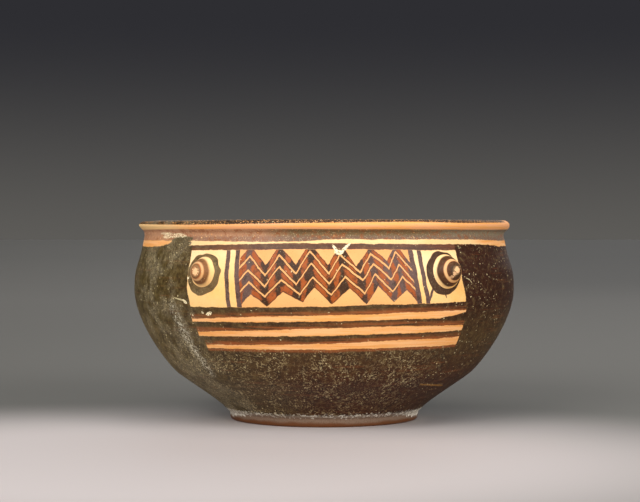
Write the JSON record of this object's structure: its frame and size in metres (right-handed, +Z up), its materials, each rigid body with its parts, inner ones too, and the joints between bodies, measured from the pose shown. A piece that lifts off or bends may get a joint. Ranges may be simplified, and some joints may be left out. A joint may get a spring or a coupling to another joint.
{
  "type": "mastos",
  "caption": "Ancient painted clay bowl without handles, on a low ring foot, with an everted lip and small breast-shaped knobs beside a zigzag panel.",
  "frame": {"origin": "middle of the underside, level with the foot ring it stands on", "axes": "+Z up along the turning axis; the painted front panel faces -Y and the back panel +Y"},
  "size_m": [0.15, 0.15, 0.0782],
  "materials": {
    "clay": "dark brown slip with a low gloss over orange clay, worn and lightly crusted"
  },
  "bodies": {
    "root": {"bowl": "clay"}
  },
  "joints": []
}
